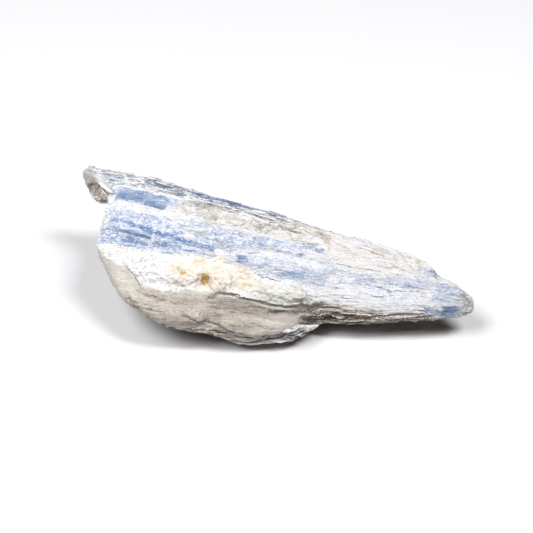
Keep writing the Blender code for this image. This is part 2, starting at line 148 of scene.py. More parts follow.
# Blue kyanite on the sloping top, as strips along the blades: left end (x, y), right end
# (x, y), half-width, strength, how much navy is in it, and how little quartz breaks it.
blueStrips = {
    "upperBlade": (-49.8, 9.1, -34.2, 7.7, 1.9, 0.56, 0.3, 0.75),
    "upperBladeLight": (-51.6, 9.6, -46, 9.4, 1.2, 0.42, 0, 0.5),
    "upperBladeShade": (-49.4, 8.5, -41.5, 7.6, 0.6, 0.8, 0.35, 0.8),
    "upperBladeEnd": (-40.4, 7, -34.8, 6.2, 0.7, 0.84, 0.35, 0.8),
    "upperBladeFade": (-35, 8.5, -31, 8.1, 1, 0.36, 0.1, 0.4),
    "lavenderLeft": (-50.8, 3.3, -37, 1.6, 1.7, 0.53, 0, 0),
    "cornflower": (-49.8, 0.1, -37.4, -1.4, 0.75, 0.86, 0, 0.3),
    "cornflowerTail": (-43, -0.9, -36.6, -1.8, 0.8, 0.95, 0.1, 0.3),
    "slate": (-46.6, -3.3, -36.6, -3.8, 0.7, 0.85, 0.85, 0.2),
    "slateLead": (-51.5, -2.9, -46, -3.1, 0.3, 0.5, 0.5, 0),
    "middleRun": (-37, -2.2, -23.8, -2.9, 0.75, 0.88, 0.1, 0.3),
    "brightSpot": (-27.6, -2.9, -24.3, -3.1, 0.55, 1, 0, 0.5),
    "lowLeftRun": (-44.2, -5.6, -37.2, -6, 0.7, 0.95, 0.45, 0.3),
    "leftField": (-51.2, -4.6, -36, -4.4, 2.9, 0.61, 0.05, 0),
    "middleField": (-40, -3.6, -27, -4, 2.4, 0.59, 0.2, 0),
    "smallBlock": (-34.2, -5.4, -31.2, -5.2, 0.9, 0.85, 0.35, 0.1),
    "greyBlock": (-31.2, -4.2, -26.4, -4.3, 1.2, 0.42, 0.9, 0),
    "lowRun": (-23.4, -3.2, -16.4, -3.3, 0.7, 0.8, 0.15, 0.3),
    "lowField": (-25.5, -4.9, -15.7, -4.7, 1.3, 0.46, 0.6, 0),
    "thinRun": (-32.6, -7.1, -29, -6.8, 0.3, 0.6, 0.5, 0.2),
    "dottedRun": (-25, 2.6, -17, 1.4, 1.1, 0.55, 0.05, 0),
    "paleRun": (-50, 0.4, -7.6, 0.3, 2.8, 0.43, 0.05, 0),
    "paleLow": (-24, -1.6, -4, -1.6, 2, 0.36, 0.3, 0),
    "paleMiddle": (-9, 0, 18, -0.2, 3.2, 0.13, 0.05, 0),
    "chequerOne": (-5.1, 0.9, -0.9, 1.4, 1.4, 0.56, 0.05, 0.45),
    "chequerTwo": (0.7, 1.3, 4.6, 2.1, 1.5, 0.36, 0.05, 0.3),
    "chequerLow": (0.3, 0.6, 2.6, 0.9, 0.6, 0.64, 0.05, 0.3),
    "chequerPale": (5.9, 1.9, 9.3, 3, 1.2, 0.24, 0, 0.3),
    "spotOne": (10.6, 3.4, 13.4, 3.9, 1.1, 0.8, 0.15, 0.1),
    "spotTwo": (14.3, 3, 16.1, 3.5, 0.8, 0.82, 0.05, 0.3),
    "spotDark": (9.3, 0.6, 9.9, 0.7, 0.35, 0.8, 0.7, 0.4),
    "lowerStart": (-12.2, -5.7, -8.4, -5.2, 1.1, 0.26, 0.1, 0.3),
    "lowerTeal": (-8.4, -5.3, -6.1, -4.9, 1.1, 0.66, 0.7, 0.3),
    "lowerHook": (-7.8, -6.2, -4.2, -6, 0.7, 0.5, 0.05, 0.2),
    "lowerPale": (-5, -5.2, 5.6, -4.8, 2.3, 0.3, 0.05, 0),
    "lowerDots": (-2.3, -5.8, 0.3, -5.5, 0.7, 0.55, 0.15, 0),
    "lowerBlade": (5.2, -6.3, 11.7, -5, 1.3, 0.46, 0, 0.8),
    "lowerBladeLine": (5.6, -5.6, 11.4, -4.6, 0.35, 0.58, 0.2, 0.5),
    "lowerBladeEnd": (11.7, -5, 18.6, -4, 1.7, 0.34, 0, 0.8),
    "lowerCap": (8.5, -3.4, 18.2, -1.6, 1, 0.26, 0.3, 0.1),
    "afterGap": (19.8, -0.9, 25, -0.2, 1, 0.34, 0.25, 0),
    "rightPale": (20.5, -2.2, 33, -0.4, 3, 0.14, 0.05, 0),
    "rightBlade": (27.2, -1.4, 33.4, 0.2, 1.1, 0.36, 0.3, 0.3),
    "rightBladeTop": (29.2, 0.8, 33.4, 1.1, 0.9, 0.3, 0.3, 0),
    "farBlade": (36.8, 1.7, 49.6, 3.6, 1.5, 0.28, 0, 0.6),
    "farBladeLow": (42, 1.2, 46.2, 1.7, 0.6, 0.42, 0.3, 0.2),
    "nearStreak": (34.6, -1.1, 38, -1.4, 0.6, 0.55, 0.3, 0.2),
    "nearPale": (24, -4.8, 47, -2.4, 2.6, 0.14, 0.05, 0),
    "tipUpper": (46, 7.2, 52, 8, 1.3, 0.32, 0.4, 0),
    "tipUpperSpot": (49.3, 8.3, 50.9, 8.8, 0.5, 0.8, 0.1, 0.3),
    "tipBlade": (52, 3.6, 61, 2.8, 2.2, 0.38, 0.3, 0.3),
    "tipShade": (51.5, 0.4, 58.5, 0.9, 1.6, 0.38, 0.3, 0.3),
    "tipBlot": (55.2, -2.4, 59.2, -1.3, 1.2, 0.9, 0.95, 0.1),
    "beakBlue": (-61.6, 15.6, -59.4, 15, 0.6, 0.42, 0.3, 0.3),
    "tipSpots": (60.6, 3.2, 62.2, 1.6, 0.6, 0.9, 0.95, 0),
    "tipUnder": (49, -4.2, 61.5, -2.2, 1.2, 0.5, 0.6, 0),
    "ridgeOne": (-41.5, 13.6, -30, 12.6, 0.7, 0.55, 0.95, 0),
    "ridgeTwo": (-33, 12.6, -20, 11.4, 1, 0.5, 0.9, 0),
    "ridgeThree": (-22.6, 10.9, -17, 10.3, 0.35, 0.7, 0.9, 0.1),
    "ridgeFour": (-18.4, 12.2, -7.4, 10.9, 1.2, 0.72, 0.9, 0),
    "ridgeFive": (-8, 11.2, 7, 11, 0.8, 0.58, 0.85, 0),
    "beakTop": (-63, 15.4, -47, 13.4, 2.6, 0.06, 0.1, 0.7),
    "beakStreak": (-60.5, 15.6, -50.5, 14, 0.28, 0.5, 0.8, 0),
    "beakLow": (-58, 14.2, -49.5, 12.9, 0.25, 0.42, 0.7, 0),
}

# Warm, grey and white patches: centre (x, y), half-length along, half-width across, strength.
rustPatches = {
    "slitRim": (-24, -12.4, 5, 3.2, 0.46),
    "holeHalo": (-14, -11, 8, 5.2, 0.46),
    "tanEdge": (-19, -8, 3.6, 1.8, 0.5),
    "orangeLine": (-21.6, -11, 0.6, 2.6, 0.5),
    "cream": (-7, -9.2, 6, 3.2, 0.42),
    "oliveLip": (-8.2, -14, 3.6, 0.8, 0.42),
    "plateTan": (9.6, 8.6, 5.6, 2, 0.22),
    "plateOrange": (19.8, 9.2, 4.4, 1.8, 0.26),
    "plateYellow": (22, 7.8, 0.9, 0.8, 0.36),
    "veins": (28.8, 5.4, 1.4, 4.6, 0.25),
    "veinsLow": (26.8, 2.2, 3.2, 1.2, 0.25),
    "plateBrown": (31.4, 5.2, 2.6, 0.5, 0.45),
    "farBeige": (41, 8, 7, 2.4, 0.18),
    "farRim": (45, 11.4, 0.9, 2.2, 0.2),
    "humpWarm": (-14, 5.6, 20, 4.6, 0.08),
    "plateWarm": (16, 6.4, 16, 4.6, 0.16),
    "farWarm": (38, 7.4, 12, 4.4, 0.13),
}
pits = {  # rust with a firm edge
    "slit": (-23.8, -12.8, 1.7, 0.7, 0.8),
    "hole": (-17.2, -12.2, 1.7, 1.35, 0.9),
}
greyPatches = {
    "humpGrey": (-22.6, 8.9, 6.4, 1.2, 0.75),
    "humpTan": (-16, 5.8, 10, 2.6, 0.5),
    "humpSpot": (-4.2, 5.8, 1.3, 1, 1),
    "humpEnd": (2, 6.4, 8, 2, 0.36),
    "square": (15.2, 8, 3.2, 1.7, 0.75),
    "leftLine": (-51, 5.6, 0.8, 1.2, 0.3),
    "paleGrey": (-21, 0, 6, 0.7, 0.5),
    "middleGrey": (-8, -2.4, 7, 0.7, 0.42),
    "farGrey": (34, 9.8, 4, 1.6, 0.5),
    "farRimGrey": (45, 11, 0.7, 2.6, 0.5),
    "beakGrey": (-57, 14.6, 12, 3.6, 0.14),
    "beakTipGrey": (-62, 15, 3.4, 3.4, 0.74),
    "tipGrey": (54, 3, 8, 6, 0.14),
    "tipEnd": (61.6, 0.2, 3.4, 3.4, 0.66),
}
whitePatches = {
    "quartzPatch": (-9.6, 8.9, 6.4, 1.5, 0.9),
    "whiteSquare": (-4.1, -0.3, 1.3, 1, 0.95),
    "whiteStep": (19.2, -5.2, 0.6, 4.6, 0.9),
    "breakOne": (-35.6, -3, 0.5, 2.2, 0.7),
    "breakTwo": (-24.6, -1.5, 1.6, 1, 0.7),
    "breakThree": (-13.8, -4.4, 1.2, 2, 0.8),
    "upperEdge": (-38, 4.4, 13, 1, 0.6),
    "lowerRim": (8, -7.6, 6, 0.7, 0.7),
    "nearWhite": (30, -5.6, 9, 1.5, 0.5),
}
# lighter patches on the broken front, painted light with a pinker tone: the same columns but with centres
# (x, z)
frontLights = {
    "pinkFacet": (6.5, 8.8, 8, 3.4, 1),
    "leftEdge": (-31, 11.6, 6, 1, 0.3),
    "leftCream": (-41.5, 18.5, 3.4, 3, 0.65),
    "lump": (-3, 4.4, 14, 2.8, 1),
    "rightSheets": (34, 11.4, 17, 1.2, 0.4),
}
# painted shade on the broken front: darker patches, the same columns
frontShades = {
    "greyFacet": (-4.6, 13.2, 7.4, 2.8, 0.44),
    "middle": (-14, 11.4, 6, 2.6, 0.4),
    "leftPlain": (-25, 15.4, 10, 2.6, 0.2),
    "slope": (-20, 12.4, 5, 1.4, 0.35),
    "lowerFold": (-36.5, 13.8, 3.4, 1.8, 0.5),
}

# Cracks in the top, seen from above: width, then the points (x, y).
topCracks = {
    "underBlade": (0.45, [(-3, -7.4), (-0.5, -7.8), (2.7, -8), (5.7, -7.6)]),
    "lowRim": (0.22, [(8.6, -9.4), (11.5, -9.8), (15.2, -8.8), (18, -8.3)]),
    "ledge": (0.5, [(23, -2.4), (22.6, -3.8), (22.3, -5.2), (22, -6.8)]),
    "rightLow": (0.4, [(20.7, -7.9), (25.5, -8.4), (29.9, -8.6)]),
    "rightMiddle": (0.26, [(34, -1.2), (38.7, -0.9), (42.6, -0.1), (46.2, 0.7), (50.2, 1.1)]),
    "rightUpper": (0.24, [(22.5, 1.9), (25, 1.6), (31.4, 2.7), (37.2, 3.8), (43.7, 4.4), (48, 5.8)]),
    "rightArc": (0.18, [(38.1, 12), (40.5, 10.6), (42.5, 8.1), (44.9, 6.2)]),
    "slateLine": (0.26, [(-51.5, -2.8), (-47, -3.4), (-42.8, -3.9), (-36.9, -3.5)]),
    "plateLine": (0.24, [(6.1, 4.1), (11, 4.6), (15, 5.4)]),
    "ridgeLong": (0.4, [(-6, 9), (-3, 8.4), (0.2, 8.2), (4.2, 7), (9, 6.6)]),
    "ridgeLeft": (0.3, [(-15.4, 8.9), (-10.4, 9)]),
    "tipUpperCrack": (0.34, [(53.8, -2), (50.8, -2.9), (44.8, -4.1)]),
    "tipLowerCrack": (0.36, [(41.2, -4.9), (46.4, -4.3), (50.9, -3.3)]),
    "rightRim": (0.32, [(42, -5.4), (45.6, -4.8), (49.5, -4), (53.4, -3.2), (57, -2.1), (58.7, -1.2)]),
    "blockLine": (0.22, [(-11.2, -3.4), (-11, -5.2)]),
    "greyLine": (0.22, [(-24, -0.6), (-17, -0.9), (-11, -2.4)]),
}

# Cracks in the front, seen from the front, with painted shadow lines under the lip and in the recess above
# the mica flakes: width, then the points (x, z).
frontCracks = {
    "long": (0.55, [(-21.4, 13.4), (-18.7, 12.6), (-15.1, 10.8), (-11.4, 9.6), (-7.8, 9), (-3.8, 8),
                    (0.7, 6.9), (4.7, 6.2), (7.6, 6)]),
    # painted shadow under the overhanging lip
    "underLip": (0.45, [(-15.3, 16), (-11.9, 17.1), (-8.7, 16.9), (-5.5, 16.2), (-2.6, 15.6), (3.4, 14.6),
                        (8.9, 13.9), (14, 13.5)]),
    "short": (0.4, [(-2.9, 14), (-0.8, 13.8), (2.2, 13.5)]),
    "seam": (0.6, [(3.9, 12.5), (7.6, 12.6), (9.7, 12.1), (12, 11.4), (16.2, 10), (23.4, 9.8),
                   (33.4, 10.2), (48.2, 10.1), (54.1, 9.9)]),
    # painted shadow in the recess above the mica flakes
    "seamAndShadowFill": (1, [(13.8, 8.8), (16.1, 7.1), (19.1, 7.1), (22.9, 7.6), (27.5, 8.5), (33.5, 9)]),
    "pinkEdge": (0.5, [(7.6, 6.4), (10.8, 6.6), (14, 7.2), (17, 6.3)]),
    "lump": (0.4, [(-11.7, 7.9), (-5.5, 6.4), (1.6, 5), (8.8, 4), (13.2, 4.1)]),
    "lumpLow": (0.3, [(-8.9, 5.2), (-2.8, 4.1), (2.3, 3.8), (7.4, 3.5)]),
    "left": (0.3, [(-32.3, 15.2), (-27, 15.4), (-23.9, 14.8), (-20.8, 14.1)]),
    "leftFold": (0.4, [(-40.1, 14.7), (-38.9, 15.2), (-34.7, 15.8), (-30.1, 15.6)]),
    "leftFoldLow": (0.35, [(-38.1, 13.5), (-34.5, 14.6), (-31.4, 14.6), (-28, 14.4)]),
    "leftFoldThin": (0.2, [(-36.4, 16.6), (-33.6, 16.2), (-30, 15.9)]),
    "leftSlant": (0.25, [(-42.1, 21.1), (-38.8, 19.5), (-34.9, 17.1)]),
    "slant": (0.22, [(-15.7, 14.6), (-16.8, 13.3), (-17.8, 12.1)]),
    "pinkSmear": (0.7, [(3.6, 12.8), (5.6, 12.6), (7.7, 12.3)]),
    "arc": (0.25, [(-8, 13.1), (-3, 12.7), (2.2, 10.5), (6.1, 9.3)]),
}


def placed(name, data):  # a new object in the scene
    thing = bpy.data.objects.new(name, data)
    bpy.context.scene.collection.objects.link(thing)
    return thing


def surfaceCopy(name, nodeName):  # a closed copy of a frame solid, as an object of its own
    mesh = bmesh.new()
    mesh.from_mesh(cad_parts[nodeName].data)
    bmesh.ops.remove_doubles(mesh, verts=mesh.verts, dist=0.02 * mm)
    data = bpy.data.meshes.new(name)
    mesh.to_mesh(data)
    mesh.free()
    return placed(name, data)


def applyModifiers(piece):
    graph = bpy.context.evaluated_depsgraph_get()
    graph.update()
    data = bpy.data.meshes.new_from_object(piece.evaluated_get(graph))
    piece.modifiers.clear()
    piece.data = data


def keepLargest(piece):  # drops the loose crumbs of a mesh
    mesh = bmesh.new()
    mesh.from_mesh(piece.data)
    unseen, parts = set(mesh.verts), []
    while unseen:
        part = [unseen.pop()]
        for vert in part:
            near = {edge.other_vert(vert) for edge in vert.link_edges} & unseen
            unseen -= near
            part += near
        parts.append(part)
    crumbs = [vert for part in sorted(parts, key=len)[:-1] for vert in part]
    bmesh.ops.delete(mesh, geom=crumbs, context="VERTS")
    mesh.to_mesh(piece.data)
    mesh.free()
    print("loose crumbs dropped:", len(parts) - 1)


def vectorsOf(data, what):
    numbers = np.empty(len(data.vertices) * 3, np.float32)
    data.vertices.foreach_get(what, numbers)
    return numbers.reshape(-1, 3).astype(float)


def spotsOf(data):  # in mm, measured where the marks are
    return vectorsOf(data, "co") / mm - marksFrom


def moveSpots(data, spots):
    data.vertices.foreach_set("co", spots.astype(np.float32).ravel())


def keepMask(data, name, values):
    layer = data.attributes.new(name, "FLOAT", "POINT")
    layer.data.foreach_set("value", np.asarray(values, np.float32))


def lineAt(line, x):
    points = np.array(stone[line], float)
    return np.interp(x, points[:, 0], points[:, 1])


def stripAmount(co, ragged, ends, half, whole):  # 1 inside a strip, 0 past its ragged ends
    x0, y0, x1, y1 = ends
    soft = 0.45 - 0.25 * whole
    offset = co[:, 1] - (y0 + (y1 - y0) * np.clip((co[:, 0] - x0) / (x1 - x0), 0, 1))
    x = co[:, 0] - 0.5 * whole * offset  # the ends of whole blades slant
    past = np.maximum(np.maximum(x0 - x, x - x1), 0) / (1.1 - 0.6 * whole)
    edge = np.maximum(np.abs(offset) / half, 0.6 + past * 0.5) + ragged * (1 - 0.6 * whole)
    return fall(edge, 1 - soft, 1 + soft)


def patchAmount(flat, ragged, x, y, long, wide, strength=1):
    away = np.hypot((flat[:, 0] - x) / long, (flat[:, 1] - y) / wide)
    return fall(away + ragged, 0.55, 1.25) * strength


def strongest(flat, ragged, patches):  # the strongest patch at each point
    return np.max([patchAmount(flat, ragged, *patch) for patch in patches.values()], axis=0)


def crackAmount(flat, points, half):  # 1 on a line of cracks, 0 away from it
    nearest = np.full(len(flat), 1e9)
    for a, b in zip(points[:-1], points[1:]):
        a, b = np.array(a, float), np.array(b, float)
        share = np.clip(((flat - a) @ (b - a)) / ((b - a) @ (b - a)), 0, 1)
        nearest = np.minimum(nearest, np.linalg.norm(flat - a - share[:, None] * (b - a), axis=1))
    return fall(nearest, half * 0.4, half * 1.7)


def sumLaths(place, layers, seed):
    return sum(size * laths(place, width, length, seed + i)
               for i, (width, length, size) in enumerate(layers))


def zonesOf(co, no):  # where each part of a surface is, and which way it faces
    place = grainPlace(co)
    x, y, z = co.T
    edge = layeredNoise(place * [0.12, 0.5, 0.5], 61)
    outside = lineAt("lipLine", x) - y  # mm in front of the lip
    beyondLip = ramp(outside + 0.5 * edge, -0.5, 0.5)
    up = ramp(no[:, 2], 0.25, 0.55)
    behind = ramp(no[:, 1] * 0.9 - no[:, 2] * 0.5, 0.25, 0.55)
    inside = ramp(-outside, 1, 3) * ramp(no[:, 2], -0.1, 0.15) * fall(-no[:, 0], 0.5, 0.8)
    tip = ramp(x, 50, 55) * ramp(no[:, 2], -0.4, 0.1)
    top = np.maximum(up, np.maximum(inside, tip) * (1 - behind)) * (1 - beyondLip)
    steep = (1 - up) * ramp(-no[:, 1], 0.2, 0.5) * ramp(outside, -3.5, -0.5)
    steep *= 1 - 0.8 * ramp(x, 50, 55)
    front = np.maximum(beyondLip * ramp(-no[:, 1], -0.7, -0.3), steep)
    snow = ramp(lineAt("snowLine", x) - y + 0.9 * edge, -0.3, 0.6) * fall(x, 17, 20) * top
    hump = ramp(y - lineAt("humpLine", x), -0.6, 0.6) * ramp(lineAt("humpTop", x) - y, -0.6, 0.6) * top
    hump *= ramp(x, -34, -28) * fall(x, 6, 14)
    sheets = np.maximum(ramp(x, 10, 17), ramp(lineAt("sheetLine", x) - z + 0.9 * edge, -0.5, 0.7))
    hollow = fall(x, -55.5, -52.5) * fall(z, 27.2, 28.8) * (1 - behind)
    step = top * fall(np.abs(y - lineAt("stepLine", x)), 1.8, 3.4)
    return {
        "place": place, "top": top, "front": front, "snow": snow, "hump": hump,
        "sheets": front * sheets, "smooth": front * (1 - sheets), "behind": behind,
        "lip": beyondLip * fall(outside, 0.8, 5) * fall(x, 14, 20) * ramp(x, -17, -10),
        "under": ramp(-no[:, 2], 0.35, 0.7), "end": ramp(-no[:, 0], 0.35, 0.75) * ramp(x, -55, -53.5),
        "hollow": hollow * ramp(x + 0.38 * z, -53.0, -50.2),
        "step": step * ramp(x, -16, -11) * fall(x, 19, 23),
        "ridge": ramp(y - lineAt("ridgeLine", x) + 0.4 * edge, -0.3, 0.9) * up * fall(x, 16, 30),
    }


def colourMasks(co, zones, relief):  # what the finish reads at each point of a surface
    place, top = zones["place"], zones["top"]
    cells = laths(place, 0.8, 3.2, 91) * 0.5 + laths(place, 1.6, 5.5, 92) * 0.5
    ragged = softNoise(place * [0.45, 2.4, 2.4], 11) * 0.4 + cells * 0.22
    blue, navy, whole = np.zeros((3, len(co)))
    for *ends, half, strength, navyShare, wholeShare in blueStrips.values():
        amount = stripAmount(co, ragged, ends, half, wholeShare)
        wins = amount * strength > blue * 0.8
        navy = np.where(wins, navy * (1 - amount) + amount * navyShare, navy)
        whole = np.where(wins, whole * (1 - amount) + amount * wholeShare, whole)
        blue = np.maximum(blue, amount * strength)
    blue *= (1 + 0.4 * cells * (1 - whole)) * top
    spread = layeredNoise(place * [0.35, 0.9, 0.9], 23) * 0.55
    rust = np.maximum(strongest(co, spread, rustPatches), strongest(co, spread * 0.35, pits))
    grey = strongest(co, spread, greyPatches)
    white = strongest(co, spread * 0.7, whitePatches)
    # painted light and painted shade on the broken front
    light = strongest(co[:, [0, 2]], spread * 0.5, frontLights)
    shade = strongest(co[:, [0, 2]], spread * 0.7, frontShades)
    blue *= 1 - white
    grey = np.maximum(grey, 0.42 * zones["hump"]) * (1 - 0.7 * white)

    # the sides that the strips don't reach: blades of kyanite, white quartz and schist, with painted shade
    # on the underside
    behind = zones["behind"]
    sideBlue = ramp(layeredNoise(place * [0.03, 0.2, 0.2], 71) + 0.3 * cells, 0, 0.5)
    sideDark = ramp(layeredNoise(place * [0.05, 0.3, 0.3], 83), 0, 0.5)
    blue = np.maximum(blue, sideBlue * 0.6 * behind)
    navy = np.where(behind > 0.5, sideDark * 0.7, navy)
    # real schist on the front sheets, and the underside painted dark as shade
    schist = np.maximum(zones["sheets"], zones["under"] * 0.7)
    schist = np.maximum(schist, behind * ramp(layeredNoise(place * [0.04, 0.3, 0.3], 97), 0.15, 0.45))
    green = patchAmount(co, spread * 0.5, 5.0, -11.6, 14.0, 3.2) * top
    leftGreen = zones["smooth"] * fall(co[:, 0], -40, -35)
    return {
        "blue": blue, "navy": navy, "whole": whole, "grey": grey, "light": light, "shade": shade,
        "rust": rust * (1 - behind) * (1 - zones["front"]), "green": np.maximum(green, leftGreen),
        "snow": zones["snow"], "front": zones["smooth"], "schist": schist, "level": relief,
        "ridge": zones["ridge"], "hollow": zones["hollow"],
        # painted shade on faces that look down, weaker on the schist sheets
        "under": zones["under"] * (1 - 0.75 * zones["sheets"]),
    }


def paintMasks(piece, co, no, relief):
    zones = zonesOf(co, no)
    for name, values in colourMasks(co, zones, relief).items():
        keepMask(piece.data, name, values)
    layer = piece.data.attributes.new("grain", "FLOAT_VECTOR", "POINT")
    layer.data.foreach_set("vector", zones["place"].astype(np.float32).ravel())


cluster = surfaceCopy("kyaniteCluster", "kyanite_blade_cluster")
remesh = cluster.modifiers.new("skin", "REMESH")
remesh.mode = "VOXEL"
remesh.voxel_size = stone["voxel"] * mm
polish = cluster.modifiers.new("polish", "SMOOTH")
polish.iterations = stone["polish"]
polish.factor = 0.5
applyModifiers(cluster)
keepLargest(cluster)


def soften(piece, amount, rounds):  # smooths part of a skin: amount is 0 to 1 at each point
    spots = vectorsOf(piece.data, "co")
    edges = np.empty(len(piece.data.edges) * 2, np.int32)
    piece.data.edges.foreach_get("vertices", edges)
    first, second = edges.reshape(-1, 2).T
    counts = np.bincount(first, minlength=len(spots)) + np.bincount(second, minlength=len(spots))
    for number in range(rounds):
        for axis in range(3):
            values = spots[:, axis]
            around = np.bincount(first, values[second], len(spots))
            around += np.bincount(second, values[first], len(spots))
            spots[:, axis] += (around / counts - values) * amount * 0.6
    moveSpots(piece.data, spots)
    piece.data.update()


zones = zonesOf(spotsOf(cluster.data), vectorsOf(cluster.data, "normal"))
soften(cluster, zones["top"] * (1 - zones["snow"]), stone["topRounds"])
soften(cluster, zones["snow"], stone["snowRounds"])
soften(cluster, zones["smooth"], stone["frontRounds"])
soften(cluster, zones["step"], stone["stepRounds"])
co, no = spotsOf(cluster.data), vectorsOf(cluster.data, "normal")
print("skin of the cluster:", len(cluster.data.polygons), "faces")

# relief: laths along the grain, grit on the quartz, thin sheets on the broken front
zones = zonesOf(co, no)
place, smooth = zones["place"], zones["smooth"]
grainy = np.clip(zones["snow"] + zones["hump"] + 0.8 * ramp(co[:, 0], 56, 60), 0, 1)
side = np.clip(zones["behind"] + zones["under"], 0, 1)
calm = (1 - 0.85 * grainy) * (1 - 0.9 * smooth)
relief = sumLaths(place, stone["topLaths"], 1) * (1 - side)
relief = (relief + sumLaths(place, stone["sideLaths"], 11) * side) * calm
shuffle = np.column_stack([softNoise(co * 0.8, seed) for seed in (3, 5, 8)])
crumbs = hashed(np.floor(co * [1.1, 1.3, 1.3] + 0.9 * shuffle), 13) - 0.5
relief += stone["grit"] * grainy * (layeredNoise(co * 0.9, 7, 4) - 0.2 + 1.2 * crumbs)
sheetPlace = place[:, 2] * 1.1 + 0.5 * softNoise(place * [0.05, 0.1, 0.3], 33)
sheetRow = np.floor(sheetPlace)
sheetStep = hashed(np.column_stack([sheetRow, np.floor(co[:, 0] / 17 + sheetRow * 0.37), sheetRow * 0]), 34)
sheetGap = ramp(np.abs(sheetPlace - sheetRow - 0.5), 0.3, 0.46)
relief += zones["sheets"] * ((sheetStep - 0.5) * 0.7 - 0.3 * sheetGap)
waves = 0.12 * layeredNoise(co * [0.25, 0.5, 0.5], 9) + 0.05 * layeredNoise(co * 1.4, 19)
relief += smooth * waves
slanted = np.column_stack([(co[:, 0] + 0.8 * co[:, 2]) * 0.4, co[:, 2] * 0.09, co[:, 1] * 0.09])
relief += smooth * stone["pleats"] * layeredNoise(slanted, 45)
shelf = 3.4 * layeredNoise(co * [0.05, 0.10, 0.24] + 0.2 * softNoise(co * 0.5, 58)[:, None], 57)
shelfPart = shelf - np.floor(shelf)
shelfSize = 1 - 0.7 * ramp(co[:, 2] - lineAt("sheetLine", co[:, 0]), 0.5, 5)  # smaller higher up
shelfRelief = ramp(shelfPart, 0.84, 1.0) - shelfPart + 0.42  # gentle plates that end in small drops
relief += smooth * stone["shelves"] * shelfSize * shelfRelief * (1 - 0.6 * ramp(co[:, 0], -6, 2))
relief -= stone["ledge"] * zones["lip"]
relief += 0.05 * layeredNoise(co * 1.5, 29, 2)
wobble = np.column_stack([softNoise(co * 0.6, 51), softNoise(co * 0.6, 52)]) * 0.35
for width, points in topCracks.values():
    relief -= crackAmount(co[:, :2] + wobble, points, width * 0.6) * zones["top"] * width * 0.45
for width, points in frontCracks.values():
    amount = crackAmount(co[:, [0, 2]] + wobble, points, width * 0.6)
    relief -= amount * zones["front"] * width * 0.5

lift = ramp(co[:, 2], 0.05, 1.2)  # the resting face stays flat
moved = co + no * (relief * lift)[:, None]
moved[:, 0] += sumLaths(place, stone["endLaths"], 21) * zones["end"] * lift * (1 - smooth)
for spot, reach, push in swells.values():
    near = fall(np.linalg.norm(co - spot, axis=1) / reach, 0.1, 1)
    moved += near[:, None] * push
moved[:, 2] = np.maximum(moved[:, 2], 0)
moveSpots(cluster.data, (moved + marksFrom) * mm)
keepMask(cluster.data, "relief", relief)
thin = cluster.modifiers.new("thin", "DECIMATE")
thin.ratio = min(1, stone["triangles"] / (2 * len(cluster.data.polygons)))
applyModifiers(cluster)
cluster.data.update()
moved, no = spotsOf(cluster.data), vectorsOf(cluster.data, "normal")
relief = np.empty(len(moved), np.float32)
cluster.data.attributes["relief"].data.foreach_get("value", relief)
paintMasks(cluster, moved, no, relief)
for polygon in cluster.data.polygons:
    polygon.use_smooth = True
cluster.data.set_sharp_from_angle(angle=math.radians(40))
print("finished skin:", len(cluster.data.polygons), "faces")

# the rest is laid on the finished skin, in frame millimetres
skinFaces = [tuple(polygon.vertices) for polygon in cluster.data.polygons]
skinTree = BVHTree.FromPolygons([tuple(spot) for spot in moved + marksFrom], skinFaces)
focus = Vector(grain["focus"]) + Vector(marksFrom)


def skinUnder(spot, inward):  # where a line from outside meets the skin
    return skinTree.ray_cast(spot - inward * 3, inward, 9)[0]


def loftRings(parts, rings):  # adds a closed bar through rings of equal length
    first, corners = len(parts["verts"]), len(rings[0])
    parts["verts"] += [tuple(spot) for ring in rings for spot in ring]
    for ring in range(len(rings) - 1):
        a = first + ring * corners
        for i in range(corners):
            j = (i + 1) % corners
            parts["faces"].append((a + i, a + j, a + corners + j, a + corners + i))
    parts["faces"].append(tuple(range(first + corners - 1, first - 1, -1)))
    last = first + (len(rings) - 1) * corners
    parts["faces"].append(tuple(range(last, last + corners)))


def makePiece(name, parts, finishOf, painted=True):
    mesh = bmesh.new()
    corners = [mesh.verts.new(Vector(spot) * mm) for spot in parts["verts"]]
    for face in parts["faces"]:
        mesh.faces.new([corners[i] for i in face])
    bmesh.ops.recalc_face_normals(mesh, faces=mesh.faces)
    data = bpy.data.meshes.new(name)
    mesh.to_mesh(data)
    mesh.free()
    piece = placed(name, data)
    if painted:
        spots = spotsOf(data)
        paintMasks(piece, spots, np.array(parts["normals"], float), np.full(len(spots), 0.1))
    data.materials.append(finishOf)
    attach(piece, "root")
    print(name, len(data.polygons), "faces")


bladeFaces = {
    "count": 900,  # places tried
    "length": (2.5, 9),  # mm
    "width": (0.5, 1.9),
    "rise": (0, 0.07),  # above the skin on the top
    "sideRise": (0.05, 0.45),  # above the skin on the other sides
    "frontWidth": (0.35, 1),
    "frontRise": (0.02, 0.22),
    "step": 1.1,  # from ring to ring
    "roughest": 0.25,  # skin that one can lie on
    "sideRoughest": 0.5,
    "steepest": (0.5, 0.6),  # slope of the skin along and across it
    "crown": 0.04,
    "depth": 0.6,
}


